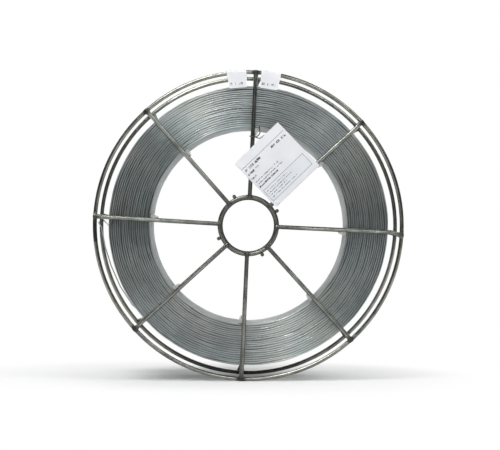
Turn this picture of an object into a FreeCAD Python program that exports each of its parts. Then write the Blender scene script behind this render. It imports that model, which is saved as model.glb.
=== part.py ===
"""A full wire basket spool of welding wire, 300 mm across and 103 mm wide.

Two welded wire flanges face each other along the spool's axis. Each has a rim ring, a hub ring
and eight straight spokes. Eight axial bars join the flanges and carry the winding, and four short
rods join the hub rings. Three paper labels hang on the front flange.

Frame: the origin is on the axis of the hub bore, half way between the flanges. +Z is up, the front
flange faces -Y, and angles round the spool run clockwise from +Z as seen from the front.
"""
import FreeCAD, Part
import math
import os

import Sketcher

SPOKES = ("first", "second", "third", "fourth", "fifth", "sixth", "seventh", "eighth")
RODS = ("first", "second", "third", "fourth")

DOC = FreeCAD.newDocument("wire_basket_spool")
SHEET = DOC.addObject("Spreadsheet::Sheet", "sizes")

# Every driving size, in millimetres and degrees: alias, value, what it is.
SIZES = [
    ("rim_diameter", 300.0, "outside of the rim rings"),
    ("spool_width", 103.0, "over the spokes of both flanges"),
    ("rim_wire", 4.0, "wire of the rim rings"),
    ("hub_bore", 51.5, "free bore of the hub rings"),
    ("hub_wire", 4.0, "wire of the hub rings"),
    ("bore_land", 0.12, "depth of the sized land inside each hub ring"),
    ("spoke_wire", 4.0, "wire of the spokes"),
    ("first_spoke", 2.8, "angle of the first spoke, as it was welded"),
    ("second_spoke", 47.8, "angle of the second spoke"),
    ("third_spoke", 92.65, "angle of the third spoke"),
    ("fourth_spoke", 137.95, "angle of the fourth spoke"),
    ("fifth_spoke", 182.55, "angle of the fifth spoke"),
    ("sixth_spoke", 227.8, "angle of the sixth spoke"),
    ("seventh_spoke", 273.4, "angle of the seventh spoke"),
    ("eighth_spoke", 318.5, "angle of the eighth spoke"),
    ("back_turn", 0.2, "how far the back flange is turned past the front one"),
    ("spoke_end_inset", 0.4, "spoke's inner end, outside the bore"),
    ("spoke_end_round", 0.6, "rounding of the spoke ends"),
    ("ring_weld", 0.6, "how deep a ring is pressed into a spoke by its weld"),
    ("bar_wire", 4.0, "wire of the barrel bars"),
    ("bar_weld", 0.3, "how deep a barrel bar is welded into the side of its spoke"),
    ("bar_end_inset", 1.0, "barrel bar's front end, behind the front of its spoke"),
    ("bar_back_lap", 1.2, "barrel bar's back end, past the inside of the back spoke"),
    ("bar_lean", 1.2, "how far a barrel bar's back end leans towards its back spoke"),
    ("rod_wire", 3.5, "wire of the hub rods"),
    ("first_rod", 62.9, "angle of the first hub rod"),
    ("second_rod", 154.2, "angle of the second hub rod"),
    ("third_rod", 246.3, "angle of the third hub rod"),
    ("fourth_rod", 334.2, "angle of the fourth hub rod"),
    ("rod_weld", 0.2, "how deep a hub rod is welded into the hub rings"),
    ("winding_diameter", 269.2, "outside of the wound wire"),
    ("winding_bore", 189.8, "inside of the wound wire"),
    ("winding_side_gap", 0.25, "from the winding to the spokes of either flange"),
    ("winding_bar_gap", 0.2, "from the winding's bore to the barrel bars"),
    ("winding_edge", 0.6, "rounding of the winding's edges"),
    ("weld_wire", 1.2, "the welding wire itself"),
    ("wire_gap", 0.15, "from a hooked wire to what it is hooked on"),
    ("tag_width", 19.0, "rim tag, along the rim"),
    ("tag_drop", 15.3, "rim tag's flag, inward from the middle of the rim wire"),
    ("tag_paper", 0.25, "thickness of one leaf of a rim tag"),
    ("tag_gap", 0.35, "from a rim tag's fold to the rim wire"),
    ("tag_left", -4.4, "angle of the left rim tag"),
    ("tag_right", 8.6, "angle of the right rim tag"),
    ("card_side", 58.0, "side of the square label card"),
    ("card_board", 0.5, "thickness of the label card"),
    ("card_gap", 0.2, "from the card to the front spokes"),
    ("card_across", 27.7, "card's centre, to the right of the axis"),
    ("card_above", 58.6, "card's centre, above the axis"),
    ("card_turn", 46.1, "how far the card is turned, clockwise"),
    ("tie_wire", 1.0, "wire of the card's tie"),
    ("tie_below_winding", 10.4, "from the winding's bore in to the tie's loop round the first spoke"),
]


def fill_sheet():
    for row, (alias, value, meaning) in enumerate(SIZES, start=1):
        SHEET.set(f"A{row}", meaning)
        SHEET.set(f"B{row}", str(value))
        SHEET.setAlias(f"B{row}", alias)
    DOC.recompute()


def size(alias):
    """A driving size, for the few shapes that are worked out in code."""
    return float(SHEET.get(alias))


def bind(thing, **expressions):
    """Tie properties to sheet expressions; names of sizes are written bare, with a leading dollar."""
    for name, expression in expressions.items():
        thing.setExpression(name.replace("__", "."), expression.replace("$", "sizes."))
    return thing


def label(thing, name, placement=None):
    thing.Label = name
    if placement is not None:
        thing.Placement = placement
    return thing


def add(kind, name, **expressions):
    return bind(DOC.addObject(kind, name), **expressions)


def boolean(kind, name, base, tool):
    result = DOC.addObject(kind, name)
    result.Base = base
    result.Tool = tool
    return result


ALONG_Y = FreeCAD.Placement(FreeCAD.Vector(0, 0, 0), FreeCAD.Rotation(FreeCAD.Vector(1, 0, 0), -90))
ALONG_X = FreeCAD.Placement(FreeCAD.Vector(0, 0, 0), FreeCAD.Rotation(FreeCAD.Vector(0, 1, 0), 90))
ABOUT_Y = FreeCAD.Placement(FreeCAD.Vector(0, 0, 0), FreeCAD.Rotation(FreeCAD.Vector(0, 1, 0), 1))
ABOUT_Z = FreeCAD.Placement(FreeCAD.Vector(0, 0, 0), FreeCAD.Rotation(FreeCAD.Vector(0, 0, 1), 1))

RING_Y = "($spool_width/2 - $spoke_wire/2 - ($spoke_wire + $rim_wire)/2 + $ring_weld)"
HUB_Y = "($spool_width/2 - $spoke_wire/2 - ($spoke_wire + $hub_wire)/2 + $ring_weld)"
SPOKE_Y = "($spool_width/2 - $spoke_wire/2)"
HUB_RING_RADIUS = "($hub_bore/2 + $hub_wire/2 - $bore_land)"
SPOKE_START = "($hub_bore/2 + $spoke_end_inset)"


def turned(thing, angle):
    """Turn a finished piece round the spool's axis by an angle given as an expression."""
    thing.Placement = ABOUT_Y
    return bind(thing, Placement__Rotation__Angle=angle)


def spoke_blank(flange, sign, angle):
    """A straight round spoke from the hub to the outside of the rim, with softened ends."""
    bar = add(
        "Part::Cylinder",
        flange + "_spoke_bar",
        Radius="$spoke_wire/2",
        Height="$rim_diameter/2 - " + SPOKE_START,
        Placement__Base__y=f"{sign}*" + SPOKE_Y,
        Placement__Base__z=SPOKE_START,
    )
    DOC.recompute()
    blank = DOC.addObject("Part::Fillet", flange + "_spoke_blank")
    blank.Base = bar
    rounding = size("spoke_end_round")
    rims = [n for n, edge in enumerate(bar.Shape.Edges, 1) if isinstance(edge.Curve, Part.Circle)]
    blank.Edges = [(n, rounding, rounding) for n in rims]
    return turned(blank, angle)


def flange(name, sign, angle):
    """One welded wire flange: rim ring, hub ring and its spokes, seated on each other's welds."""
    rim = add(
        "Part::Torus",
        name + "_rim_ring",
        Radius1="$rim_diameter/2 - $rim_wire/2",
        Radius2="$rim_wire/2",
    )
    rim.Placement = ALONG_Y
    bind(rim, Placement__Base__y=f"{sign}*" + RING_Y)
    label(rim, name + "_rim_ring")

    hub_round = add("Part::Torus", name + "_hub_round", Radius1=HUB_RING_RADIUS, Radius2="$hub_wire/2")
    hub_round.Placement = ALONG_Y
    bind(hub_round, Placement__Base__y=f"{sign}*" + HUB_Y)
    reamer = add("Part::Cylinder", name + "_hub_reamer", Radius="$hub_bore/2", Height="2*$hub_wire")
    reamer.Placement = ALONG_Y
    bind(reamer, Placement__Base__y=f"{sign}*{HUB_Y} - $hub_wire")
    hub = label(boolean("Part::Cut", name + "_hub_ring", hub_round, reamer), name + "_hub_ring")

    blank = spoke_blank(name, sign, angle)
    rings = boolean("Part::Fuse", name + "_rings", rim, hub_round)
    spokes = []
    for number, place in enumerate(SPOKES, 1):
        spoke = boolean("Part::Cut", f"{name}_spoke_{number}", blank, rings)
        turned(spoke, f"${place}_spoke")
        spokes.append(label(spoke, f"{name}_spoke_{number}"))
    return [rim, hub, *spokes], blank, hub_round


def barrel_bars(front_blank, back_blank):
    """The bars that carry the winding, each welded beside a front spoke and inside a back one."""
    aside = "(($spoke_wire + $bar_wire)/2 - $bar_weld)"
    reach = "($winding_bore/2 - $winding_bar_gap - $bar_wire/2)"
    length = "($spool_width - $bar_end_inset - $spoke_wire + $bar_back_lap)"
    stock = add("Part::Cylinder", "bar_stock", Radius="$bar_wire/2", Height=length)
    stock.Placement = ALONG_Y
    leaned = DOC.addObject("Part::Compound", "bar_leaned")
    leaned.Links = [stock]
    leaned.Placement = ABOUT_Z
    bind(
        leaned,
        Placement__Rotation__Angle=f"asin($bar_lean / {length})",
        Placement__Base__x=aside,
        Placement__Base__y="-$spool_width/2 + $bar_end_inset",
        Placement__Base__z=f"sqrt({reach}^2 - {aside}^2)",
    )
    seats = boolean("Part::Fuse", "bar_seats", front_blank, back_blank)
    bars = []
    for number, place in enumerate(SPOKES, 1):
        bar = boolean("Part::Cut", f"barrel_bar_{number}", leaned, seats)
        turned(bar, f"${place}_spoke")
        bars.append(label(bar, f"barrel_bar_{number}"))
    return bars


def hub_rods(front_round, back_round):
    """The short axial rods welded round the outside of both hub rings."""
    stock = add(
        "Part::Cylinder",
        "rod_stock",
        Radius="$rod_wire/2",
        Height="2*" + HUB_Y + " + $hub_wire",
    )
    stock.Placement = ALONG_Y
    bind(
        stock,
        Placement__Base__y="-" + HUB_Y + " - $hub_wire/2",
        Placement__Base__z=HUB_RING_RADIUS + " + $hub_wire/2 + $rod_wire/2 - $rod_weld",
    )
    seats = boolean("Part::Fuse", "rod_seats", front_round, back_round)
    rods = []
    for number, place in enumerate(RODS, 1):
        rod = boolean("Part::Cut", f"hub_rod_{number}", stock, seats)
        turned(rod, f"${place}_rod")
        rods.append(label(rod, f"hub_rod_{number}"))
    return rods


def body(name):
    made = DOC.addObject("PartDesign::Body", name)
    return label(made, name)


def plane_of(owner, role):
    return next(plane for plane in owner.Origin.OriginFeatures if plane.Role == role)


def rectangle_sketch(owner, name, role, corners, dimensions):
    """A rectangle held by four named distances to the sketch's axes."""
    sketch = owner.newObject("Sketcher::SketchObject", name)
    sketch.AttachmentSupport = [(plane_of(owner, role), "")]
    sketch.MapMode = "FlatFace"
    (x0, y0), (x1, y1) = corners
    points = [FreeCAD.Vector(x, y, 0) for x, y in ((x0, y0), (x1, y0), (x1, y1), (x0, y1))]
    for start, end in zip(points, points[1:] + points[:1]):
        sketch.addGeometry(Part.LineSegment(start, end), False)
    for edge in range(4):
        sketch.addConstraint(Sketcher.Constraint("Coincident", edge, 2, (edge + 1) % 4, 1))
    for edge, direction in enumerate(("Horizontal", "Vertical", "Horizontal", "Vertical")):
        sketch.addConstraint(Sketcher.Constraint(direction, edge))
    for kind, edge, alias, expression, value in dimensions:
        # the distance of the edge's first point from the sketch's own origin
        number = sketch.addConstraint(Sketcher.Constraint(kind, -1, 1, edge, 1, value))
        sketch.renameConstraint(number, alias)
        sketch.setExpression("Constraints." + alias, expression.replace("$", "sizes."))
    return sketch


def winding():
    """All the wound wire as one turned solid with its bore."""
    half = size("spool_width") / 2 - size("spoke_wire") - size("winding_side_gap")
    inner, outer = size("winding_bore") / 2, size("winding_diameter") / 2
    coil = body("wire_coil")
    half_text = "$spool_width/2 - $spoke_wire - $winding_side_gap"
    profile = rectangle_sketch(
        coil,
        "winding_section",
        "XY_Plane",
        ((inner, -half), (outer, half)),
        [
            ("DistanceX", 0, "inner", "$winding_bore/2", inner),
            ("DistanceX", 1, "outer", "$winding_diameter/2", outer),
            ("DistanceY", 0, "front", "-(" + half_text + ")", -half),
            ("DistanceY", 2, "back", half_text, half),
        ],
    )
    turn = coil.newObject("PartDesign::Revolution", "winding_turn")
    turn.Profile = profile
    turn.ReferenceAxis = (profile, ["V_Axis"])
    turn.Angle = 360
    DOC.recompute()
    rounding = coil.newObject("PartDesign::Fillet", "winding_edges")
    rims = [f"Edge{n}" for n, e in enumerate(turn.Shape.Edges, 1) if isinstance(e.Curve, Part.Circle)]
    rounding.Base = (turn, rims)
    bind(rounding, Radius="$winding_edge")
    coil.Tip = rounding
    return coil


def on_spool(angle, radius, y):
    """A point at an angle and a distance round the spool's axis."""
    turn = math.radians(angle)
    return FreeCAD.Vector(radius * math.sin(turn), y, radius * math.cos(turn))


def bent_wire(points, bend, diameter):
    """A round wire along straight runs, with an arc of the given radius, or less, at each point."""
    edges = []
    start = points[0]
    for before, corner, after in zip(points, points[1:], points[2:]):
        back, ahead = (before - corner).normalize(), (after - corner).normalize()
        half_turn = (math.pi - back.getAngle(ahead)) / 2
        room = 0.48 * min((before - corner).Length, (after - corner).Length)
        setback = min(bend * math.tan(half_turn), room)
        radius = setback / math.tan(half_turn)
        middle = corner + (back + ahead).normalize() * (radius / math.cos(half_turn) - radius)
        arc_start, arc_end = corner + back * setback, corner + ahead * setback
        edges.append(Part.LineSegment(start, arc_start).toShape())
        edges.append(Part.Arc(arc_start, middle, arc_end).toShape())
        start = arc_end
    edges.append(Part.LineSegment(start, points[-1]).toShape())
    path = Part.Wire(edges)
    section = Part.Wire(Part.makeCircle(diameter / 2, points[0], points[1] - points[0]))
    return path.makePipeShell([section], True, True)


def wire_tail():
    """The free end of the welding wire, hooked round the back rim ring and laid on the winding."""
    wire = size("weld_wire")
    lies_at = size("winding_diameter") / 2 + wire / 2 + 0.05
    rim = size("rim_diameter") / 2 - size("rim_wire") / 2
    rim_y = (size("spool_width") - size("spoke_wire")) / 2
    rim_y -= (size("spoke_wire") + size("rim_wire")) / 2 - size("ring_weld")
    off = size("rim_wire") / 2 + wire / 2 + size("wire_gap")
    near, far = rim_y - off, rim_y + off
    hook = size("seventh_spoke") + size("back_turn") - 1.9
    end_y = -0.2 * size("spool_width")
    points = [
        on_spool(hook - 47, lies_at, rim_y - 7),
        on_spool(hook - 42.5, lies_at + 3.2, rim_y - 6),
        on_spool(hook - 36, lies_at + 6, rim_y - 5.2),
        on_spool(hook - 27, lies_at + 7.4, rim_y - 4.4),
        on_spool(hook - 18, lies_at + 8.6, rim_y - 3.6),
        on_spool(hook - 10, rim - 2.3, near),
        on_spool(hook - 2.2, rim - 0.2, near),
        on_spool(hook - 0.7, rim + off, near),
        on_spool(hook - 0.2, rim + off, far),
        on_spool(hook + 0.2, rim - off, far),
        on_spool(hook + 0.3, rim - off, near - 1),
        on_spool(hook - 1.6, lies_at + 2.2, end_y + 18),
        on_spool(hook - 4.4, lies_at, end_y),
    ]
    tail = DOC.addObject("Part::Feature", "wire_tail")
    tail.Shape = bent_wire(points, off, wire)
    return label(tail, "wire_tail", FreeCAD.Placement())


def rim_tag(name, angle):
    """A paper flag wrapped round the front rim wire, its two leaves stuck together in front."""
    inner = add("Part::Cylinder", name + "_wire_room", Radius="$rim_wire/2 + $tag_gap", Height="$tag_width")
    outer = add(
        "Part::Cylinder",
        name + "_wrap",
        Radius="$rim_wire/2 + $tag_gap + $tag_paper",
        Height="$tag_width",
    )
    for tube in (inner, outer):
        tube.Placement = ALONG_X
        bind(
            tube,
            Placement__Base__x="-$tag_width/2",
            Placement__Base__y="-" + RING_Y,
            Placement__Base__z="$rim_diameter/2 - $rim_wire/2 - $tag_gap/2",
        )
    flag = add(
        "Part::Box",
        name + "_flag",
        Length="$tag_width",
        Width="2*$tag_paper",
        Height="$tag_drop",
        Placement__Base__x="-$tag_width/2",
        Placement__Base__y="-" + RING_Y + " - $rim_wire/2 - $tag_gap - $tag_paper",
        Placement__Base__z="$rim_diameter/2 - $rim_wire/2 - $tag_gap/2 - $tag_drop",
    )
    whole = boolean("Part::Fuse", name + "_whole", outer, flag)
    tag = boolean("Part::Cut", name, whole, inner)
    turned(tag, angle)
    return label(tag, name)


def label_card():
    """The square label card, lying against the front spokes."""
    board = add(
        "Part::Box",
        "card_board_sheet",
        Length="$card_side",
        Width="$card_board",
        Height="$card_side",
        Placement__Base__x="-$card_side/2",
        Placement__Base__z="-$card_side/2",
    )
    card = DOC.addObject("Part::Compound", "label_card")
    card.Links = [board]
    turned(card, "$card_turn")
    bind(
        card,
        Placement__Base__x="$card_across",
        Placement__Base__y="-$spool_width/2 - $card_gap - $card_board",
        Placement__Base__z="$card_above",
    )
    return label(card, "label_card")


def card_tie():
    """A bent wire round the first front spoke, with one end stuck behind the card's upper edge."""
    wire = size("tie_wire")
    lean = math.tan(math.radians(size("first_spoke")))
    reach = size("winding_bore") / 2 - size("tie_below_winding")
    spoke = FreeCAD.Vector(reach * lean, -(size("spool_width") - size("spoke_wire")) / 2, reach)
    off = size("spoke_wire") / 2 + wire / 2 + size("wire_gap")
    front, behind = spoke.y - off, spoke.y + off
    behind_card = -size("spool_width") / 2 - size("card_gap") + wire / 2 + 0.1
    bar_end = -size("spool_width") / 2 + size("bar_end_inset")
    clear_of_bar = bar_end - wire / 2 - 0.3
    points = [
        FreeCAD.Vector(spoke.x + 18, behind_card, spoke.z - 0.5),
        FreeCAD.Vector(spoke.x + 12, behind_card, spoke.z + 3.2),
        FreeCAD.Vector(spoke.x + 6.9, behind_card, spoke.z - 0.9),
        FreeCAD.Vector(spoke.x + off, front, spoke.z + 0.6),
        FreeCAD.Vector(spoke.x - off, front, spoke.z + 1.3),
        FreeCAD.Vector(spoke.x - off, behind, spoke.z + 1.9),
        FreeCAD.Vector(spoke.x + off, behind, spoke.z + 1.2),
        FreeCAD.Vector(spoke.x + off + 1.2, clear_of_bar + 2, spoke.z + 0.8),
        FreeCAD.Vector(spoke.x + 7.2, clear_of_bar, spoke.z + 4),
        FreeCAD.Vector(spoke.x + 6.4, clear_of_bar, spoke.z + 11),
    ]
    tie = DOC.addObject("Part::Feature", "card_tie")
    tie.Shape = bent_wire(points, off, wire)
    return label(tie, "card_tie", FreeCAD.Placement())


def check(pieces):
    """Stop before anything is written if an object failed or a piece is not sound solids."""
    failed = [thing.Name for thing in DOC.Objects if {"Invalid", "Error"} & set(thing.State)]
    if failed:
        raise RuntimeError("failed objects: " + ", ".join(failed))
    for piece in pieces:
        shape = piece.Shape
        if shape.isNull() or not shape.isValid() or not shape.Solids:
            raise RuntimeError(piece.Label + " has no valid solid")


def export(pieces):
    os.makedirs("parts", exist_ok=True)
    for piece in pieces:
        piece.Shape.exportStep(f"parts/{piece.Label}.step")
        box = piece.Shape.BoundBox
        print(f"{piece.Label:18s} {len(piece.Shape.Solids)} solid {piece.Shape.Volume:12.1f} mm3",
              f"{box.XLength:7.2f} x {box.YLength:7.2f} x {box.ZLength:7.2f} mm")


fill_sheet()
front_pieces, front_blank, front_round = flange("front", -1, "0")
back_pieces, back_blank, back_round = flange("back", 1, "$back_turn")
all_pieces = [
    *front_pieces,
    *back_pieces,
    *barrel_bars(front_blank, back_blank),
    *hub_rods(front_round, back_round),
    winding(),
    wire_tail(),
    rim_tag("rim_tag_left", "$tag_left"),
    rim_tag("rim_tag_right", "$tag_right"),
    label_card(),
    card_tie(),
]
DOC.recompute()
check(all_pieces)
export(all_pieces)
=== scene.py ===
# %% [markdown]
# # A wire basket spool of welding wire
# The object is a wheel of welded steel wire with a heavy winding of thin bright wire in it.
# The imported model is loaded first, in metres. Its parts are copied and smoothed, or are replaced by
# finer ones in the same places.

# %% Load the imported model
import math
import random
import bpy
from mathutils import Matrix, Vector


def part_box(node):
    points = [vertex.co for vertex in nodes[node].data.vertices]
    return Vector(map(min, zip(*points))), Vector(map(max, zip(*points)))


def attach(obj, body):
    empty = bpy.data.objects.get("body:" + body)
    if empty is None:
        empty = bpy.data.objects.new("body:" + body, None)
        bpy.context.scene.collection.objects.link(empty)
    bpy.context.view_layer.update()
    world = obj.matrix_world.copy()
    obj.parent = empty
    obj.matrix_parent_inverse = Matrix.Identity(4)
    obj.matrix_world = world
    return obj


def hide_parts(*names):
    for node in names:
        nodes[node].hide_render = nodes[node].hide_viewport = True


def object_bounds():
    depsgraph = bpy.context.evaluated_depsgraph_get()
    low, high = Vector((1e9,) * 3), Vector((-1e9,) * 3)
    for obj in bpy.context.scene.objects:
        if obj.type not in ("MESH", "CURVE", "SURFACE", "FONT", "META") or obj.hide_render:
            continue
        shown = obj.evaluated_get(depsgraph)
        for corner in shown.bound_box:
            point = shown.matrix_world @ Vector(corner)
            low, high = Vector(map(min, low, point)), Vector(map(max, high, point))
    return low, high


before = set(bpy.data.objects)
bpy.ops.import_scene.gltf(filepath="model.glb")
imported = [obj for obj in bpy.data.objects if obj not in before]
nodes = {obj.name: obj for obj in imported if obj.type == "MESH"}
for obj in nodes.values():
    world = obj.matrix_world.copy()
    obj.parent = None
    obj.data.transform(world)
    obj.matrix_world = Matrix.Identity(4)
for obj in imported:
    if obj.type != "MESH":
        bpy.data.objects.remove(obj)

cad_box = [list(corner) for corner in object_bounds()]
print("parts loaded:", len(nodes), "box:", cad_box)

# %% [markdown]
# ## Small helpers
# An operator acts on everything that is selected, so every step starts by clearing the selection.
# Many like parts, such as turns of wire, are joined into one piece and their place is applied to the mesh.

# %% Select, edit and copy
MM = 0.001


def deselect():
    if bpy.context.object and bpy.context.object.mode != "OBJECT":
        bpy.ops.object.mode_set(mode="OBJECT")
    bpy.ops.object.select_all(action="DESELECT")


def pick(thing):
    deselect()
    thing.select_set(True)
    bpy.context.view_layer.objects.active = thing


def edit_all():
    """Go to edit mode with the whole mesh selected."""
    bpy.ops.object.mode_set(mode="EDIT")
    bpy.ops.mesh.select_all(action="SELECT")


def end_edit():
    bpy.ops.object.mode_set(mode="OBJECT")


def apply_place():
    bpy.ops.object.transform_apply(location=True, rotation=True, scale=True)


def copy_of(thing):
    """A copy with a mesh of its own."""
    twin = thing.copy()
    twin.data = thing.data.copy()
    bpy.context.scene.collection.objects.link(twin)
    return twin


# %% Join, settle and thicken
SAME_POINT = 1e-6


def join(parts, name):
    """Join parts into one mesh that sits at the origin."""
    pick(parts[0])
    for part in parts:
        part.select_set(True)
    if len(parts) > 1:
        bpy.ops.object.join()
    bpy.ops.object.convert(target="MESH")
    apply_place()
    piece = bpy.context.object
    piece.name = piece.data.name = name
    return piece


def outward(piece):
    """Weld doubled points and point all faces outwards."""
    pick(piece)
    edit_all()
    bpy.ops.mesh.remove_doubles(threshold=SAME_POINT)
    bpy.ops.mesh.normals_make_consistent(inside=False)
    end_edit()


def thicken(sheet, thickness):
    """Give the active sheet its thickness, half of it on each side."""
    solidify = sheet.modifiers.new("paper thickness", "SOLIDIFY")
    solidify.thickness, solidify.offset = thickness, 0
    bpy.ops.object.modifier_apply(modifier=solidify.name)


def paint(piece, finish):
    """Take off the finishes that a piece has, and give it this one."""
    piece.data.materials.clear()
    piece.data.materials.append(finish)


def triangles(piece):
    return sum(len(face.vertices) - 2 for face in piece.data.polygons)


# %% [markdown]
# ## The camera
# The spool is seen square on from the front, at the height of its hub and from about two metres.
# From there the back rim shows as a smaller ring inside the front one. The lens is long, and a very
# small shift sets the spool in its place in the frame.

# %% Set up the camera
CAMERA_DISTANCE = 2.060
lens_data = bpy.data.cameras.new("studio_camera")
lens_data.sensor_width = 36
lens_data.lens = 150.4
lens_data.shift_x, lens_data.shift_y = 0.0034, 0.0012
camera = bpy.data.objects.new("studio_camera", lens_data)
bpy.context.scene.collection.objects.link(camera)
camera.location = (0, -CAMERA_DISTANCE, 0)
camera.rotation_euler = (math.radians(90), 0, 0)
bpy.context.scene.camera = camera
bpy.context.scene.view_settings.view_transform = "Standard"
print("camera:", CAMERA_DISTANCE, "m in front, lens", round(lens_data.lens, 1), "mm")

# %% [markdown]
# ## Node helpers
# A material is a small network. One helper adds a node, sets it and wires its inputs, so that a
# network reads from its first texture down to its shader. The others are its commonest uses.

# %% Add a node
def set_input(tree, socket, value):
    """Wire an input to another node's output, or give it a plain value."""
    if isinstance(value, bpy.types.NodeSocket):
        tree.links.new(value, socket)
    else:
        socket.default_value = value


def add_node(tree, kind, inputs=None, **settings):
    node = tree.nodes.new(kind)
    for name, value in settings.items():
        setattr(node, name, value)
    for name, value in (inputs or {}).items():
        set_input(tree, node.inputs[name], value)
    return node


def sums(tree, operation, *values):
    """A Math node, by its operation and inputs."""
    return add_node(tree, "ShaderNodeMath", dict(enumerate(values)), operation=operation).outputs[0]


def ramp(tree, value, low, high, to_low=0.0, to_high=1.0):
    """Map a value from one range to another, held at both ends."""
    inputs = {"Value": value, "From Min": low, "From Max": high, "To Min": to_low, "To Max": to_high}
    return add_node(tree, "ShaderNodeMapRange", inputs, clamp=True).outputs[0]


MIX_FACTOR, MIX_FIRST, MIX_SECOND, MIX_RESULT = 0, 6, 7, 2  # a Mix node's colour sockets, by number


def blend(tree, factor, first, second):
    """Mix two colours."""
    mix = add_node(tree, "ShaderNodeMix", data_type="RGBA")
    for index, value in ((MIX_FACTOR, factor), (MIX_FIRST, first), (MIX_SECOND, second)):
        set_input(tree, mix.inputs[index], value)
    return mix.outputs[MIX_RESULT]


def new_finish(name):
    """A material with an empty network."""
    material = bpy.data.materials.new(name)
    material.use_nodes = True
    material.node_tree.nodes.clear()
    return material, material.node_tree


# %% [markdown]
# ## Studio light
# Round wire shows its lights as bright streaks, wherever the wire runs across the line from the lamp.
# A key panel high on the left lights the turns near eleven and five o'clock. A weaker panel on the
# right and a wide one in front fill the rest, and one overhead lights the back. The back of the
# studio is white and its front is dim, as behind a camera.

# %% World
WHITE = (1, 1, 1, 1)
world = bpy.data.worlds.new("studio")
bpy.context.scene.world = world
world.use_nodes = True
tree = world.node_tree
tree.nodes.clear()
rays = add_node(tree, "ShaderNodeLightPath").outputs
direction = add_node(tree, "ShaderNodeTexCoord").outputs["Generated"]
back = add_node(tree, "ShaderNodeSeparateXYZ", {0: direction}).outputs["Y"]
behind_object = ramp(tree, back, 0.15, 0.6)
seen_in_metal = sums(tree, "MULTIPLY", behind_object, rays["Is Glossy Ray"])
shown = sums(tree, "MAXIMUM", rays["Is Camera Ray"], rays["Is Transmission Ray"])
white_part = sums(tree, "MAXIMUM", shown, seen_in_metal)
dim_room = add_node(tree, "ShaderNodeBackground", {"Color": (0.93, 0.97, 1, 1), "Strength": 0.08})
white_room = add_node(tree, "ShaderNodeBackground", {"Color": WHITE, "Strength": 1.0})
rooms = {0: white_part, 1: dim_room.outputs[0], 2: white_room.outputs[0]}
both_rooms = add_node(tree, "ShaderNodeMixShader", rooms)
add_node(tree, "ShaderNodeOutputWorld", {0: both_rooms.outputs[0]})
print("world:", world.name)

# %% Soft panels
PANELS = {  # place in metres, width, height, power in watts; each one faces the middle of the spool
    "key_panel": ((-0.5, -0.75, 1.25), 0.45, 0.9, 15),
    "fill_panel": ((0.95, -0.75, 1.15), 0.6, 0.9, 4.5),
    "front_panel": ((0.1, -2.3, 1.0), 1.2, 0.5, 10.5),
    "back_panel": ((-0.3, 1.0, 2.0), 1.0, 0.4, 5),
}
for name, (place, width, height, power) in PANELS.items():
    data = bpy.data.lights.new(name, "AREA")
    data.shape = "RECTANGLE"
    data.size, data.size_y, data.energy = width, height, power
    lamp = bpy.data.objects.new(name, data)
    lamp.location = place
    lamp.rotation_euler = (-Vector(place)).to_track_quat("-Z", "Y").to_euler()
    bpy.context.scene.collection.objects.link(lamp)
print("soft panels:", list(PANELS))

# %% [markdown]
# ## Floor
# A plain pale sheet. It keeps the soft shadow under the rims and fades to clean white further off.
# Close to the rims its lift to white is smaller, a painted shadow that makes the real one a little deeper.

# %% The floor's finish
FLOOR_SHIFT = (0.05, 0, 0)  # the fade is centred 50 mm to the left of the spool
floor_material, tree = new_finish("pale floor")
place = add_node(tree, "ShaderNodeTexCoord").outputs["Object"]
centred = add_node(tree, "ShaderNodeMapping", {"Vector": place, "Location": FLOOR_SHIFT}).outputs[0]
far = add_node(tree, "ShaderNodeVectorMath", {0: centred}, operation="LENGTH").outputs["Value"]
rays = add_node(tree, "ShaderNodeLightPath").outputs
looked_at = sums(tree, "MAXIMUM", rays["Is Camera Ray"], rays["Is Transmission Ray"])
seen = sums(tree, "MAXIMUM", looked_at, rays["Is Glossy Ray"])
matt = add_node(tree, "ShaderNodeBsdfDiffuse", {"Color": (0.86, 0.86, 0.86, 1)})
# Near the spool the lift is smaller: painted shadow that deepens the shadow by the rims.
lift_and_painted_shadow = sums(tree, "MULTIPLY", looked_at, ramp(tree, far, 0.02, 0.17, 0.14, 0.27))
glow = add_node(tree, "ShaderNodeEmission", {"Color": WHITE, "Strength": lift_and_painted_shadow})
lifted = add_node(tree, "ShaderNodeAddShader", {0: matt.outputs[0], 1: glow.outputs[0]})
clean = add_node(tree, "ShaderNodeEmission", {"Color": WHITE, "Strength": 1.0})
near_and_far = {0: ramp(tree, far, 0.1, 0.28), 1: lifted.outputs[0], 2: clean.outputs[0]}
sheet_look = add_node(tree, "ShaderNodeMixShader", near_and_far)
by_ray = {0: seen, 1: matt.outputs[0], 2: sheet_look.outputs[0]}
whole_look = add_node(tree, "ShaderNodeMixShader", by_ray)
add_node(tree, "ShaderNodeOutputMaterial", {0: whole_look.outputs[0]})
print("finish:", floor_material.name)

# %% Make the floor
FLOOR_RADIUS, FLOOR_BORDER = 1.5, 0.4
floor_height = cad_box[0][2]
deselect()
bpy.ops.mesh.primitive_circle_add(
    vertices=96, radius=FLOOR_RADIUS, fill_type="NGON", location=(0, 0, floor_height)
)
floor = bpy.context.object
floor.name = "studio_floor"
edit_all()
bpy.ops.mesh.inset(thickness=FLOOR_BORDER)
end_edit()
floor.data.materials.append(floor_material)
print("floor at z =", round(floor.location.z, 5))

# %% [markdown]
# ## Finishes shared by the wires
# Drawn wire has fine lines along it, darker oily patches and, where it was welded, a blue-black
# scorch. The lines follow the wire, so the pattern is laid out by the distance from the spool's
# axis and the angle round it. These are shader groups, used again with other values.

# %% Make a shader group
FLOAT, VECTOR = "NodeSocketFloat", "NodeSocketVector"


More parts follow.
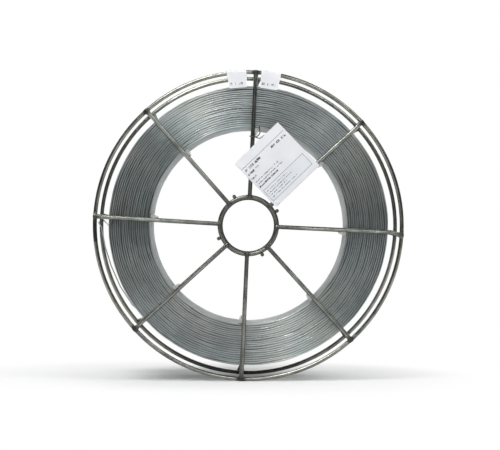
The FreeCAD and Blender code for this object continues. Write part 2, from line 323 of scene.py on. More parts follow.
def new_group(name, ins, outs):
    """A group with named inputs and outputs, and the two nodes that stand for them inside it."""
    group = bpy.data.node_groups.new(name, "ShaderNodeTree")
    for label, kind, value in ins:
        socket = group.interface.new_socket(label, in_out="INPUT", socket_type=kind)
        if value is not None:
            socket.default_value = value
    for label, kind in outs:
        group.interface.new_socket(label, in_out="OUTPUT", socket_type=kind)
    return group, group.nodes.new("NodeGroupInput"), group.nodes.new("NodeGroupOutput")


# %% Group for places on the spool
FINE = 1500.0  # noise cells to the metre across a wire
SLOW_ROUND, SLOW_OUT = 5.0, 30.0  # and along it: per radian on a ring, per metre on a spoke
wheel_places, given, result = new_group(
    "places on the wheel", [("Position", VECTOR, None)],
    [("Radius", FLOAT), ("Angle", FLOAT), ("Round", VECTOR), ("Radial", VECTOR)],
)
parts = add_node(wheel_places, "ShaderNodeSeparateXYZ", {0: given.outputs["Position"]})
x, y, z = (parts.outputs[axis] for axis in "XYZ")
flat = add_node(wheel_places, "ShaderNodeCombineXYZ", {0: x, 2: z}).outputs[0]
radius = add_node(wheel_places, "ShaderNodeVectorMath", {0: flat}, operation="LENGTH").outputs["Value"]
angle = sums(wheel_places, "ARCTAN2", x, z)
across_r = sums(wheel_places, "MULTIPLY", radius, FINE)
across_y = sums(wheel_places, "MULTIPLY", y, FINE)
slow_turn = sums(wheel_places, "MULTIPLY", angle, SLOW_ROUND)
round_way = add_node(wheel_places, "ShaderNodeCombineXYZ", {0: across_r, 1: across_y, 2: slow_turn})
arc = sums(wheel_places, "MULTIPLY", angle, radius)
side = sums(wheel_places, "MULTIPLY", arc, FINE)
slow_out = sums(wheel_places, "MULTIPLY", radius, SLOW_OUT)
radial_way = add_node(wheel_places, "ShaderNodeCombineXYZ", {0: side, 1: across_y, 2: slow_out})
places = {"Radius": radius, "Angle": angle, "Round": round_way.outputs[0], "Radial": radial_way.outputs[0]}
for label, socket in places.items():
    wheel_places.links.new(socket, result.inputs[label])
print("shader group:", wheel_places.name)

# %% Group for drawn wire
drawn_wire, given, result = new_group(
    "drawn wire marks",
    [("Along Wire", VECTOR, None), ("Position", VECTOR, None), ("Patch Scale", FLOAT, 60.0)],
    [("Lines", FLOAT), ("Patches", FLOAT), ("Tint", FLOAT)],
)
along_wire, position = given.outputs["Along Wire"], given.outputs["Position"]
patch_size = given.outputs["Patch Scale"]
MARKS = {  # what the noise reads, and the part of its range that is spread from 0 to 1
    "Lines": ({"Vector": along_wire, "Scale": 1.0, "Detail": 2.0, "Roughness": 0.6}, 0.3, 0.7),
    "Patches": ({"Vector": position, "Scale": patch_size, "Detail": 3.0, "Roughness": 0.6}, 0.35, 0.65),
    "Tint": ({"Vector": position, "Scale": 16.0, "Detail": 1.0}, 0.38, 0.62),
}
for label, (inputs, low, high) in MARKS.items():
    noise = add_node(drawn_wire, "ShaderNodeTexNoise", inputs).outputs["Fac"]
    drawn_wire.links.new(ramp(drawn_wire, noise, low, high), result.inputs[label])
print("shader group:", drawn_wire.name)

# %% Group for weld scorch
SPOKES = 8
FIRST_SPOKE = math.radians(2.9)
weld_scorch, given, result = new_group(
    "weld scorch", [("Radius", FLOAT, 0.0), ("Angle", FLOAT, 0.0), ("Patches", FLOAT, 0.5)], [("Mask", FLOAT)]
)
from_first = sums(weld_scorch, "SUBTRACT", given.outputs["Angle"], FIRST_SPOKE)
spoke_phase = sums(weld_scorch, "MULTIPLY", from_first, float(SPOKES))
near_spoke = ramp(weld_scorch, sums(weld_scorch, "COSINE", spoke_phase), 0.955, 0.999)
at_rim = ramp(weld_scorch, given.outputs["Radius"], 0.1415, 0.1465)
at_hub = ramp(weld_scorch, given.outputs["Radius"], 0.034, 0.0295)
ends = sums(weld_scorch, "MAXIMUM", at_rim, at_hub)
at_weld = sums(weld_scorch, "MULTIPLY", ends, near_spoke)
# The mask also rises towards the hub, from 0 at 62 mm to 0.6 at 38 mm, so the steel is darker there.
darker_near_hub = ramp(weld_scorch, given.outputs["Radius"], 0.062, 0.038, 0.0, 0.6)
hub_reach = sums(weld_scorch, "MAXIMUM", sums(weld_scorch, "MULTIPLY", at_hub, 0.55), darker_near_hub)
spread = sums(weld_scorch, "MAXIMUM", at_weld, hub_reach)
uneven = ramp(weld_scorch, given.outputs["Patches"], 0.0, 1.0, 0.65, 1.0)
weld_scorch.links.new(sums(weld_scorch, "MULTIPLY", spread, uneven), result.inputs["Mask"])
print("shader group:", weld_scorch.name)

# %% [markdown]
# ## Steel finishes
# One recipe makes each steel: two tones mixed by the patches, a warm tint here and there, roughness
# from the lines, and a very low bump. It is fully metallic, as bare steel is. Three extras can be laid
# on it: the scorch of the welds, the dark butt joint of a ring, and a bar's matt front end, painted
# with the spoke's shadow on one half and with light on the other.

# %% Extras for the steel
SCORCHED, SCORCHED_ROUGH = (0.035, 0.036, 0.032, 1), 0.55
JOINT_DARK = (0.05, 0.052, 0.046, 1)
JOINT_REACH, JOINT_CORE = math.radians(4.6), math.radians(4.2)
# A bar end's two tones are painted: the spoke's shadow, and light on the lit half.
END_SHADOWED, END_LIT = (0.07, 0.07, 0.065, 1), (0.4, 0.41, 0.39, 1)
FIRST_BAR = math.radians(2.3)


def lay_scorch(tree, where, marks, amount, colour, smooth):
    """Darken and dull the steel near its welds."""
    burnt = add_node(tree, "ShaderNodeGroup", node_tree=weld_scorch)
    for label in ("Radius", "Angle"):
        tree.links.new(where.outputs[label], burnt.inputs[label])
    tree.links.new(marks.outputs["Patches"], burnt.inputs["Patches"])
    strength = sums(tree, "MULTIPLY", burnt.outputs["Mask"], amount)
    return blend(tree, strength, colour, SCORCHED), ramp(tree, strength, 0, 1, smooth, SCORCHED_ROUGH)


def lay_joint(tree, where, degrees, colour):
    """Darken a ring on both sides of the place where its two ends are butt welded."""
    turned = sums(tree, "SUBTRACT", where.outputs["Angle"], math.radians(degrees))
    seam = ramp(tree, sums(tree, "ABSOLUTE", turned), JOINT_REACH, JOINT_CORE, 0, 0.75)
    return blend(tree, seam, colour, JOINT_DARK)


def lay_cut_end(tree, where, position, colour, smooth):
    """Make a bar's front end matt, with the spoke's shadow painted on one half and painted light on the
    other.
    """
    depth = add_node(tree, "ShaderNodeSeparateXYZ", {0: position}).outputs["Y"]
    end_face = ramp(tree, sums(tree, "MULTIPLY", depth, -1.0), 0.05035, 0.05045)
    turned = sums(tree, "SUBTRACT", where.outputs["Angle"], FIRST_BAR)
    phase = sums(tree, "MULTIPLY", turned, float(SPOKES))
    lit_half = ramp(tree, sums(tree, "SINE", phase), -0.04, 0.06, 0.25, 1.0)
    colour = blend(tree, end_face, colour, blend(tree, lit_half, END_SHADOWED, END_LIT))
    return colour, ramp(tree, end_face, 0, 1, smooth, 0.6), ramp(tree, end_face, 0, 1, 1.0, 0.35)


# %% Steel recipe
def steel(name, tones, rough, way="Round", patch_scale=60.0, scorch=0.0, cut_ends=False, joint=None):
    """A drawn steel, by its dark, light and warm tones and its least and most roughness."""
    dark, light, warm = tones
    material, tree = new_finish(name)
    position = add_node(tree, "ShaderNodeTexCoord").outputs["Object"]
    where = add_node(tree, "ShaderNodeGroup", node_tree=wheel_places)
    tree.links.new(position, where.inputs["Position"])
    marks = add_node(tree, "ShaderNodeGroup", node_tree=drawn_wire)
    tree.links.new(where.outputs[way], marks.inputs["Along Wire"])
    tree.links.new(position, marks.inputs["Position"])
    marks.inputs["Patch Scale"].default_value = patch_scale
    lines = marks.outputs["Lines"]
    colour = blend(tree, marks.outputs["Patches"], dark, light)
    colour = blend(tree, sums(tree, "MULTIPLY", marks.outputs["Tint"], 0.5), colour, warm)
    colour = blend(tree, ramp(tree, lines, 0, 1, 0.0, 0.35), colour, dark)
    roughness = ramp(tree, lines, 0, 1, rough[0], rough[1])
    metallic = 1.0
    if scorch:
        colour, roughness = lay_scorch(tree, where, marks, scorch, colour, rough[0])
    if joint is not None:
        colour = lay_joint(tree, where, joint, colour)
    if cut_ends:
        colour, roughness, metallic = lay_cut_end(tree, where, position, colour, rough[0])
    low_bump = {"Strength": 0.1, "Distance": 0.0001, "Height": lines}
    relief = add_node(tree, "ShaderNodeBump", low_bump).outputs["Normal"]
    look = {"Base Color": colour, "Metallic": metallic, "Roughness": roughness, "Normal": relief}
    shader = add_node(tree, "ShaderNodeBsdfPrincipled", look)
    add_node(tree, "ShaderNodeOutputMaterial", {0: shader.outputs[0]})
    print("finish:", name)
    return material


# %% The steels of this spool
RING_TONES = (0.17, 0.175, 0.16, 1), (0.42, 0.43, 0.40, 1), (0.36, 0.34, 0.28, 1)
SPOKE_TONES = (0.15, 0.16, 0.145, 1), (0.44, 0.455, 0.425, 1), (0.3, 0.295, 0.25, 1)
BAR_TONES = (0.2, 0.2, 0.18, 1), (0.42, 0.43, 0.4, 1), (0.34, 0.33, 0.28, 1)
WIRE_TONES = (0.354, 0.396, 0.396, 1), (0.532, 0.587, 0.592, 1), (0.498, 0.486, 0.447, 1)
# The sunk turns' tones are darker to paint the shade in the dips.
SUNK_SHADE_TONES = (0.172, 0.193, 0.193, 1), (0.258, 0.286, 0.287, 1), (0.242, 0.234, 0.213, 1)
# Tones of the core: dark, to paint the shade under the turns.
CORE_SHADE_TONES = (0.08, 0.085, 0.08, 1), (0.16, 0.165, 0.16, 1), (0.13, 0.13, 0.12, 1)
TIE_TONES = (0.06, 0.065, 0.06, 1), (0.2, 0.2, 0.19, 1), (0.15, 0.14, 0.12, 1)
frame_ring_steel = steel("frame ring steel", RING_TONES, (0.24, 0.36), scorch=0.85)
front_rim_steel = steel("front rim steel", RING_TONES, (0.24, 0.36), scorch=0.85, joint=-91.5)
spoke_steel = steel("spoke steel", SPOKE_TONES, (0.26, 0.4), way="Radial", scorch=1.0)
bar_steel = steel("bar steel", BAR_TONES, (0.26, 0.38), cut_ends=True)
welding_wire = steel("drawn welding wire", WIRE_TONES, (0.26, 0.36), patch_scale=35.0)
painted_shade_sunk_wire = steel("wire in the dips with painted shade", SUNK_SHADE_TONES, (0.32, 0.42), patch_scale=35.0)
painted_shade_core_wire = steel("inner turns in painted shade", CORE_SHADE_TONES, (0.45, 0.6))
tie_steel = steel("annealed tie wire", TIE_TONES, (0.4, 0.55), patch_scale=300.0)

# %% [markdown]
# ## The winding
# Eighteen kilos of thin wire lie in thirty-nine layers. Each layer ends against a flange, every
# second one half a wire further in, because round wires nest in the dips of the layer below. So
# the coil's side shows rings of wire, proud and sunk by turns, and its inner and outer walls show
# turns side by side. Each turn is a Bezier circle whose points are strayed a little at random,
# smoothed, and given the wire's thickness. A real winding is never perfect: turns sit off centre
# and cross, which leaves short dark gaps. The sunk turns lie in shade, and that shade is painted
# into their finish as darker tones.

# %% Sizes of the winding
LAYERS, WALL_TURNS = 39, 79
BORE_RADIUS = 0.0949
wire_radius = 0.6 * MM
coil_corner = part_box("wire_coil")[1]
outer_turn = coil_corner.x - wire_radius
side_turn = coil_corner.y - wire_radius
inner_turn = BORE_RADIUS + wire_radius + 0.05 * MM
layer_pitch = (outer_turn - inner_turn) / (LAYERS - 1)
nested = math.sqrt((2 * wire_radius) ** 2 - layer_pitch ** 2)
dice = random.Random(18)
print("layer pitch", round(layer_pitch, 6), "sunk by", round(nested, 6))


# %% One turn of wire
def wound_turn(radius, y, stray, off_centre):
    """A turn of wire that sits off centre and whose points stray, each by up to the given length."""
    deselect()
    place = (dice.uniform(-1, 1) * off_centre, y, dice.uniform(-1, 1) * off_centre)
    facing = (math.pi / 2, dice.uniform(0, 0.4), 0)
    bpy.ops.curve.primitive_bezier_circle_add(radius=radius, location=place, rotation=facing)
    turn = bpy.context.object
    bpy.ops.object.mode_set(mode="EDIT")
    bpy.ops.curve.select_all(action="SELECT")
    bpy.ops.curve.subdivide(number_cuts=3)
    bpy.ops.transform.vertex_random(offset=stray, seed=dice.randrange(9999))
    bpy.ops.curve.handle_type_set(type="AUTOMATIC")
    end_edit()
    turn.data.resolution_u = 8
    turn.data.bevel_depth = wire_radius
    turn.data.bevel_resolution = 2
    return turn


# %% Turns on the two sides of the coil
def coil_side(name, facing):
    """One turn for each layer but the innermost and outermost, towards the front (-1) or back (1)."""
    proud, sunk = [], []
    for layer in range(1, LAYERS - 1):
        radius = inner_turn + layer * layer_pitch
        depth = (layer % 2) * nested + dice.uniform(0.05, 0.25) * MM
        turn = wound_turn(radius, facing * (side_turn - depth), 0.16 * MM, 0.2 * MM)
        (sunk if layer % 2 else proud).append(turn)
    rows = []
    # The sunk turns take the darker finish that paints their shade.
    for turns, finish in ((proud, welding_wire), (sunk, painted_shade_sunk_wire)):
        row = join(turns, name)
        paint(row, finish)
        rows.append(row)
    return join(rows, name)


front_side = coil_side("coil_front_turns", -1)
back_side = coil_side("coil_back_turns", 1)
print("side turns:", triangles(front_side), triangles(back_side))

# %% Turns on the inner and outer walls
def coil_wall(name, radius, stray, sink):
    """Turns side by side along the coil. Only the first and last keep their exact place along it."""
    turns = []
    for number in range(WALL_TURNS):
        y = -side_turn + 2 * side_turn * number / (WALL_TURNS - 1)
        if 0 < number < WALL_TURNS - 1:
            y += dice.uniform(-1, 1) * stray
        turns.append(wound_turn(radius + dice.random() * sink, y, stray, stray))
    return join(turns, name)


outer_wall = coil_wall("coil_outer_turns", outer_turn - 0.12 * MM, 0.1 * MM, -0.2 * MM)
inner_wall = coil_wall("coil_inner_turns", inner_turn + 0.04 * MM, 0.03 * MM, 0.05 * MM)
print("wall turns:", triangles(outer_wall), triangles(inner_wall))

# %% [markdown]
# Under the turns that show lie thousands more. One dark ring, a hair below the outer turns, stands
# for them, so that a gap looks into shade and not through the coil; its dark colour is painted shade.
# It starts as a circle that is extruded outwards, along, inwards and back to its start.

# %% The dark ring under the turns
core_inner, core_outer = inner_turn + 0.75 * MM, outer_turn - 0.75 * MM
core_half = side_turn - 1.35 * MM
grow = core_outer / core_inner
CORE_STEPS = [(0, grow), (2 * core_half, 1), (0, 1 / grow), (-2 * core_half, 1)]  # along, swell
deselect()
bpy.ops.mesh.primitive_circle_add(
    vertices=160, radius=core_inner, location=(0, -core_half, 0), rotation=(math.pi / 2, 0, 0)
)
core = bpy.context.object
apply_place()
edit_all()
for along, swell in CORE_STEPS:
    bpy.ops.mesh.extrude_region_move(TRANSFORM_OT_translate={"value": (0, along, 0)})
    bpy.ops.transform.resize(value=(swell, 1, swell), center_override=(0, 0, 0))
end_edit()
core = join([core], "coil_core")
outward(core)
print("core:", triangles(core))

# %% Finish the winding
# The core's dark finish is painted shade.
for piece, finish in ((outer_wall, welding_wire), (inner_wall, welding_wire), (core, painted_shade_core_wire)):
    paint(piece, finish)
for piece in (front_side, back_side, outer_wall, inner_wall, core):
    pick(piece)
    bpy.ops.object.shade_smooth_by_angle(angle=math.radians(60))
    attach(piece, "root")
    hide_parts("wire_coil")
    print("finished:", piece.name)

# %% [markdown]
# ## Spokes
# Each spoke is a straight cut length of wire, laid across the hub ring and the rim ring and
# resistance welded. The weld squeezes the hot end flat and wide, and often pushes it a little to
# one side. One spoke is modelled along +Z from a small circle, extruded ring by ring; each ring is
# then scaled flat or wide. Sixteen copies are bent, turned to their angle and set on a flange.

# %% Model the spoke once
SPOKE_RADIUS, SPOKE_START, SPOKE_Y = 2 * MM, 26.15 * MM, 49.5 * MM
START_SHARE = 0.82  # the first ring's width and depth, as a share of the wire
STATIONS = [  # millimetres from the axis, and width and depth as a share of the wire
    (26.5, 1.0, 0.95), (28.5, 1.12, 0.96), (31.0, 1.0, 1.0), (34.0, 1.0, 1.0), (88.0, 1.0, 1.0),
    (96.0, 1.0, 1.0), (138.0, 1.0, 1.0), (141.5, 1.0, 1.0), (143.6, 1.05, 1.0), (145.2, 1.22, 0.96),
    (146.8, 1.48, 0.92), (148.2, 1.56, 0.9), (149.2, 1.42, 0.88), (149.75, 1.12, 0.8), (149.95, 0.6, 0.45),
]
deselect()
bpy.ops.mesh.primitive_circle_add(
    vertices=20, radius=SPOKE_RADIUS * START_SHARE, fill_type="NGON", location=(0, 0, SPOKE_START)
)
spoke_model = bpy.context.object
apply_place()
edit_all()
height, wide, deep = SPOKE_START, START_SHARE, START_SHARE
for station, new_wide, new_deep in STATIONS:
    rise = station * MM - height
    swell = (new_wide / wide, new_deep / deep, 1)
    bpy.ops.mesh.extrude_region_move(TRANSFORM_OT_translate={"value": (0, 0, rise)})
    bpy.ops.transform.resize(value=swell, center_override=(0, 0, station * MM))
    height, wide, deep = station * MM, new_wide, new_deep
end_edit()
outward(spoke_model)
bpy.ops.object.shade_smooth_by_angle(angle=math.radians(50))
spoke_model.data.materials.append(spoke_steel)
print("spoke model:", triangles(spoke_model), "triangles")

# %% Where the spokes lie
FLANGES = {"front": -1, "back": 1}
SPOKE_ANGLES = [2.8, 47.8, 92.65, 137.95, 182.55, 227.8, 273.4, 318.5]
BACK_TURN = 0.2  # degrees that the back flange is turned against the front one
END_BENDS = {  # how far each end is pushed clockwise, in millimetres
    "front": [0.2, -0.6, 2.5, 0.5, 0.4, -0.5, 0.3, -0.4],
    "back": [2.0, 0.8, 0.5, 0.8, 2.0, 2.0, 0.6, 1.8],
}
BEND_START, BEND_LENGTH, WELD_START = 0.1375, 0.0095, 0.1445  # in metres, along the spoke
weld_dice = random.Random(7)


def spoke_turn(flange, number):
    return math.radians(SPOKE_ANGLES[number] + (BACK_TURN if flange == "back" else 0))


def bend_end(spoke, bend, size):
    """Push the outer end sideways along a soft curve, and make its weld wider or narrower."""
    for point in spoke.data.vertices:
        late = max(0.0, min(1.0, (point.co.z - BEND_START) / BEND_LENGTH))
        late = late * late * (3 - 2 * late)
        if point.co.z > WELD_START:
            point.co.x *= size
        point.co.x += bend * late


# %% Copy the spokes on to both flanges
for flange, sign in FLANGES.items():
    for number in range(SPOKES):
        spoke = copy_of(spoke_model)
        pick(spoke)
        bend_end(spoke, END_BENDS[flange][number] * MM, weld_dice.uniform(0.9, 1.08))
        spoke.rotation_euler = (0, spoke_turn(flange, number), 0)
        spoke.location = (0, sign * SPOKE_Y, 0)
        apply_place()
        spoke.name = spoke.data.name = f"{flange}_wheel_spoke_{number + 1}"
        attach(spoke, "root")
        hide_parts(f"{flange}_spoke_{number + 1}")
bpy.data.objects.remove(spoke_model)
print("spokes:", SPOKES, "on each of", len(FLANGES), "flanges")

# %% [markdown]
# ## Weld flash
# Where a spoke is pressed into a ring, soft metal is squeezed out beside it as a small dark
# collar. It is a low lump on each side of the crossing, made once from a sphere and pulled long.

# %% Model the flash once
deselect()
bpy.ops.mesh.primitive_uv_sphere_add(segments=12, ring_count=8, radius=1.0 * MM)
flash_model = bpy.context.object
edit_all()
bpy.ops.transform.resize(value=(1.0, 0.9, 1.7))
bpy.ops.transform.vertex_random(offset=0.12 * MM, seed=5)
end_edit()
bpy.ops.object.shade_smooth()
flash_model.data.materials.append(spoke_steel)
print("flash model:", triangles(flash_model), "triangles")

# %% Copy the flash to each crossing
CROSSINGS = {  # the ring's radius and the lump's place beside the spoke, in millimetres, and its length
    "rim": (148.0, 2.75, 0.9),
    "hub": (27.9, 2.05, 0.8),
}
FLASH_INWARD, FLASH_Y = 0.3, 48.0 * MM


def lay_flash(flange, number, ring, side):
    """One lump, on one side of a spoke where it crosses a ring."""
    ring_radius, beside, length = CROSSINGS[ring]
    turn = spoke_turn(flange, number)
    push = END_BENDS[flange][number] if ring == "rim" else 0
    flash = copy_of(flash_model)
    size = weld_dice.uniform(0.75, 1.15)
    sideways = (side * beside + push) * MM
    out = (ring_radius - FLASH_INWARD) * MM
    flash.scale = (size, 1, size * length)
    flash.rotation_euler = (0, turn, 0)
    flash.location = (
        out * math.sin(turn) + sideways * math.cos(turn), FLANGES[flange] * FLASH_Y,
        out * math.cos(turn) - sideways * math.sin(turn),
    )
    return flash


flashes = [
    lay_flash(flange, number, ring, side)
    for flange in FLANGES for number in range(SPOKES) for ring in CROSSINGS for side in (-1, 1)
]
bpy.data.objects.remove(flash_model)
weld_flash = join(flashes, "weld_flash")
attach(weld_flash, "root")
print("weld flash:", triangles(weld_flash), "triangles on", len(flashes), "places")

# %% [markdown]
# ## Rings, bars, rods and loose wires
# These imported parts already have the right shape, a round wire along its path. Each is copied, its
# loose triangles are merged and smoothed, and it takes its finish.

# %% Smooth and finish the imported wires
BARS, RODS = 8, 4


def smoothed(name, finish):
    """A copy of a packed wire with its loose triangles merged, so that light runs smoothly round it."""
    wire = copy_of(nodes[name])
    wire.parent = None
    for key in list(wire.keys()):
        del wire[key]
    pick(wire)
    edit_all()
    bpy.ops.mesh.customdata_custom_splitnormals_clear()
    bpy.ops.mesh.remove_doubles(threshold=SAME_POINT)
    end_edit()
    bpy.ops.object.shade_smooth_by_angle(angle=math.radians(35))
    paint(wire, finish)
    wire.name = wire.data.name = name + "_finished"
    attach(wire, "root")
    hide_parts(name)
    print("finished:", wire.name, triangles(wire))


smoothed("front_rim_ring", front_rim_steel)
for name in ("back_rim_ring", "front_hub_ring", "back_hub_ring"):
    smoothed(name, frame_ring_steel)
for number in range(1, BARS + 1):
    smoothed(f"barrel_bar_{number}", bar_steel)
for number in range(1, RODS + 1):
    smoothed(f"hub_rod_{number}", spoke_steel)
smoothed("wire_tail", welding_wire)
smoothed("card_tie", tie_steel)

# %% [markdown]
# ## Paper and print
# Label paper is white, matt and very slightly fibrous. The print stands for plain entries and
# rules only. A printed line is a thin strip of ink that noise breaks up into uneven marks.

# %% Paper and ink
PRINTED_PAPER = (0.9, 0.91, 0.945, 1)


def paper(name, base, ink=None, cover=0.0):
    """Paper of one colour. Ink lies on it in small marks, more of them as cover goes from 0 to 1."""
    material, tree = new_finish(name)
    position = add_node(tree, "ShaderNodeTexCoord").outputs["Object"]
    fibres = add_node(tree, "ShaderNodeTexNoise", {"Vector": position, "Scale": 2500.0, "Detail": 3.0})
    clouds = add_node(tree, "ShaderNodeTexNoise", {"Vector": position, "Scale": 40.0, "Detail": 2.0})
    shade = tuple(channel * 0.93 for channel in base[:3]) + (1,)
    colour = blend(tree, ramp(tree, clouds.outputs["Fac"], 0.35, 0.65, 0, 0.8), base, shade)
    if ink:
        marks = add_node(tree, "ShaderNodeTexNoise", {"Vector": position, "Scale": 900.0, "Detail": 1.0})
        letters = ramp(tree, marks.outputs["Fac"], 0.62 - 0.3 * cover, 0.68 - 0.3 * cover)
        colour = blend(tree, letters, colour, ink)
    low_bump = {"Strength": 0.15, "Distance": 0.00005, "Height": fibres.outputs["Fac"]}
    relief = add_node(tree, "ShaderNodeBump", low_bump).outputs["Normal"]
    look = {"Base Color": colour, "Roughness": 0.62, "Normal": relief, "Specular IOR Level": 0.35}
    shader = add_node(tree, "ShaderNodeBsdfPrincipled", look)
    add_node(tree, "ShaderNodeOutputMaterial", {0: shader.outputs[0]})
    print("finish:", name)
    return material


label_paper = paper("label paper", (0.93, 0.94, 0.975, 1))
box_paper = paper("tinted box", (0.88, 0.915, 0.96, 1))
bold_print = paper("bold entries", PRINTED_PAPER, (0.03, 0.03, 0.04, 1), 0.6)
small_print = paper("small entries", PRINTED_PAPER, (0.12, 0.12, 0.17, 1), 0.42)
rule_print = paper("printed rules", (0.1, 0.1, 0.12, 1))

# %% A flat mark of ink
def ink_mark(width, height, place):
    """A flat upright plane that faces the front."""
    deselect()
    bpy.ops.mesh.primitive_plane_add(size=1, rotation=(math.pi / 2, 0, 0))
    mark = bpy.context.object
    mark.scale = (width, height, 1)
    mark.location = place
    apply_place()
    return mark


def raise_ink(mark, thickness, finish):
    """Extrude a mark forwards by its thickness, close it and give it its finish."""
    edit_all()
    bpy.ops.mesh.extrude_region_move(TRANSFORM_OT_translate={"value": (0, -thickness, 0)})
    bpy.ops.mesh.select_all(action="SELECT")
    bpy.ops.mesh.normals_make_consistent(inside=False)
    end_edit()
    mark.data.materials.append(finish)


# %% [markdown]
# ## The label card
# A square card hangs across the upper right of the hub, turned on its corner. It is two leaves of
# paper, bowed a little. Each leaf is a plane that is subdivided, bowed by moving its middle, and
# given its thickness.

# %% Sizes of the card
CARD_MM, CARD_TURN = 58, math.radians(46.1)
CARD_SIDE = CARD_MM * MM
FRONT_SIDE, BACK_SIDE = CARD_SIDE - 1.2 * MM, CARD_SIDE - 0.8 * MM
FRONT_SHIFT, LEAF_THICKNESS = -0.6 * MM, 0.16 * MM
BOW = -0.25 * MM
card_low, card_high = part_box("label_card")
card_middle = ((card_low.x + card_high.x) / 2, card_low.y, (card_low.z + card_high.z) / 2)
print("card:", CARD_MM, "mm square, in front of", tuple(round(value, 4) for value in card_middle))


def bowed(across, side, bow):
    """How far a leaf bulges at a distance across from its middle."""
    return bow * (1 - (2 * across / side) ** 2)


def hang(piece, name):
    """Turn a card piece to the card's angle and set it on the spool."""
    pick(piece)
    piece.rotation_euler = (0, CARD_TURN, 0)
    piece.location = card_middle
    apply_place()
    piece.name = piece.data.name = name
    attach(piece, "root")
    return piece


# %% Make the two leaves
def leaf(side, across, up, y, bow):
    """A bowed leaf, moved across, up and along the spool's axis."""
    deselect()
    bpy.ops.mesh.primitive_plane_add(size=side, rotation=(math.pi / 2, 0, 0))
    sheet = bpy.context.object
    apply_place()
    edit_all()
    bpy.ops.mesh.subdivide(number_cuts=15)
    end_edit()
    for point in sheet.data.vertices:
        point.co.y += bowed(point.co.x, side, bow)
        point.co.x += across
        point.co.z += up
        point.co.y += y
    thicken(sheet, LEAF_THICKNESS)
    sheet.data.materials.append(label_paper)
    return sheet


front_leaf = leaf(FRONT_SIDE, FRONT_SHIFT, 0.4 * MM, 0.05 * MM, BOW)
back_leaf = leaf(BACK_SIDE, 0.4 * MM, -0.4 * MM, 0.3 * MM, BOW * 0.4)
hang(front_leaf, "label_card_front_leaf")
hang(back_leaf, "label_card_back_leaf")
for sheet in (front_leaf, back_leaf):
    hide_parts("label_card")
    print("leaf:", sheet.name, triangles(sheet))

# %% [markdown]
# The print is laid on the front leaf as thin strips that follow its bow, so that none sinks into
# the paper. The tinted box lies lowest, and the entries and rules lie over it.

# %% Lay the print on the card
INK_THICKNESS, BOX_LIFT, ENTRY_LIFT = 0.015 * MM, 0.045 * MM, 0.03 * MM


def strip(along, down, length, height, finish):
    """A strip of print, placed by its left end and its middle on the card, in millimetres."""
    middle = CARD_MM / 2
    place = ((down - middle) * MM, 0, (along + length / 2 - middle) * MM)
    mark = ink_mark(height * MM, length * MM, place)
    if finish is box_paper:
        edit_all()
        bpy.ops.mesh.subdivide(number_cuts=7)
        end_edit()
    over_box = 0 if finish is box_paper else ENTRY_LIFT
    for point in mark.data.vertices:
        point.co.y = bowed(point.co.x - FRONT_SHIFT, FRONT_SIDE, BOW) - BOX_LIFT - over_box
    raise_ink(mark, INK_THICKNESS, finish)
    return mark


PRINT = [  # along, down, length, height, finish
    (0.6, 9.2, 55.4, 0.35, rule_print),
    (36, 13.0, 5, 2.0, bold_print), (43, 13.2, 4, 2.2, bold_print), (49.5, 13.5, 5, 2.4, bold_print),
    (2.5, 12.6, 2.4, 2.2, bold_print), (7.5, 12.6, 6.5, 2.4, bold_print), (15, 12.6, 7, 2.4, bold_print),
    (2, 17.4, 8, 2.0, bold_print), (11.5, 17.2, 4.5, 1.6, small_print),
    (2, 22.4, 5.5, 1.6, small_print),
    (2, 27.2, 30, 1.1, small_print), (2, 30.2, 32, 1.1, small_print), (2, 33.2, 24, 1.5, bold_print),
    (2, 44.9, 52, 14.0, box_paper),
    (2, 38.0, 52, 0.32, rule_print), (2, 51.8, 52, 0.32, rule_print),
    (2, 44.9, 0.32, 14.0, rule_print), (53.7, 44.9, 0.32, 14.0, rule_print),
    (4, 41.0, 26, 0.9, small_print), (4, 43.6, 30, 0.9, small_print),
    (4, 46.2, 22, 0.9, small_print), (4, 48.8, 33, 0.9, small_print),
]
card_print = join([strip(*entry) for entry in PRINT], "label_card_print")
hang(card_print, "label_card_print")
print("card print:", triangles(card_print))

# %% [markdown]
# ## Rim tags
# Two small paper flags are folded over the front rim wire, with their front leaves hanging below it.
# A flag starts as a narrow strip low in front of the wire. Its top edge is extruded up in steps and
# then spun round the wire to the back. The front leaf narrows a little towards its lower end.

# %% Select the top edge
def lift_top_edge(tag):
    """Select only the highest points of the strip."""
    end_edit()
    top = max(point.co.z for point in tag.data.vertices)
    for face in tag.data.polygons:
        face.select = False
    for edge in tag.data.edges:
        edge.select = False
    for point in tag.data.vertices:
        point.select = point.co.z > top - SAME_POINT
    bpy.ops.object.mode_set(mode="EDIT")
    bpy.ops.mesh.select_mode(type="VERT")


# %% Fold a flag round the rim wire
TAG_WIDTH, TAG_STRIP, TAG_THICKNESS = 19 * MM, 3 * MM, 0.2 * MM
RIM_RADIUS, RIM_Y = 148 * MM, -46.1 * MM
WRAP = 2.3 * MM  # from the middle of the rim wire to the middle of the paper round it
STRIP_DROP, STEPS_UP, STEP_UP = 13.5 * MM, 3, 4.0 * MM
NARROWING = 0.12


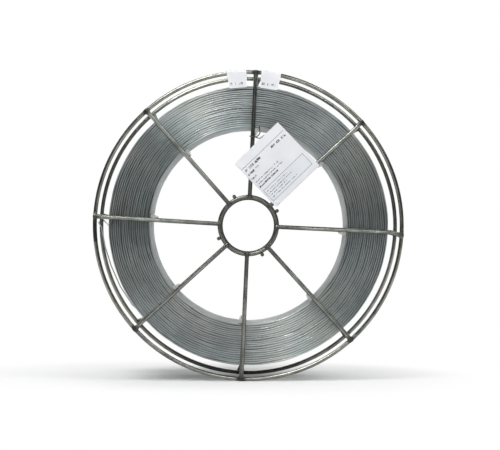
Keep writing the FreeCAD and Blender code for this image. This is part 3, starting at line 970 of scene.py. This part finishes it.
def make_flag(drift):
    """A flag at the top of the rim, whose lower end drifts sideways by some millimetres."""
    deselect()
    bpy.ops.mesh.primitive_grid_add(x_subdivisions=8, y_subdivisions=1, size=1)
    tag = bpy.context.object
    tag.scale = (TAG_WIDTH, TAG_STRIP, 1)
    apply_place()
    edit_all()
    bpy.ops.transform.rotate(value=math.radians(-90), orient_axis="X", center_override=(0, 0, 0))
    bpy.ops.transform.translate(value=(0, RIM_Y - WRAP, RIM_RADIUS - STRIP_DROP))
    for _ in range(STEPS_UP):
        lift_top_edge(tag)
        bpy.ops.mesh.extrude_region_move(TRANSFORM_OT_translate={"value": (0, 0, STEP_UP)})
    lift_top_edge(tag)
    bpy.ops.mesh.spin(steps=14, angle=math.radians(245), center=(0, RIM_Y, RIM_RADIUS), axis=(1, 0, 0))
    end_edit()
    fold = RIM_RADIUS - 2 * MM
    lowest = min(point.co.z for point in tag.data.vertices)
    for point in tag.data.vertices:
        if point.co.z < fold and point.co.y < RIM_Y - WRAP * 0.9:
            low = (fold - point.co.z) / (fold - lowest)
            point.co.x = point.co.x * (1 - NARROWING * low) + drift * MM * low
    thicken(tag, TAG_THICKNESS)
    bpy.ops.object.shade_smooth_by_angle(angle=math.radians(40))
    tag.data.materials.append(label_paper)
    return tag


# %% Marks on a flag
TAG_ENTRIES = [(-7.5, 3.2), (-2.4, 1.0), (1.6, 3.8)]  # left end and length, in millimetres
ENTRY_HEIGHT, ENTRY_Y, ENTRY_Z = 2.2 * MM, RIM_Y - 2.44 * MM, 137.2 * MM
TAG_INK = 0.02 * MM


def make_marks(name):
    marks = []
    for along, length in TAG_ENTRIES:
        place = ((along + length / 2) * MM, ENTRY_Y, ENTRY_Z)
        mark = ink_mark(length * MM, ENTRY_HEIGHT, place)
        raise_ink(mark, TAG_INK, small_print)
        marks.append(mark)
    return join(marks, name)


# %% Set the two tags on the rim
TAGS = {  # degrees clockwise from the top, and the drift of the lower end in millimetres
    "rim_tag_left": (-4.4, 0.6),
    "rim_tag_right": (8.6, -0.4),
}
for name, (degrees, drift) in TAGS.items():
    flag = make_flag(drift)
    marks = make_marks(name + "_marks")
    for piece, label in ((flag, name + "_flag"), (marks, name + "_marks")):
        pick(piece)
        piece.rotation_euler = (0, math.radians(degrees), 0)
        apply_place()
        piece.name = piece.data.name = label
        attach(piece, "root")
        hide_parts(name)
        print("finished:", piece.name, triangles(piece))
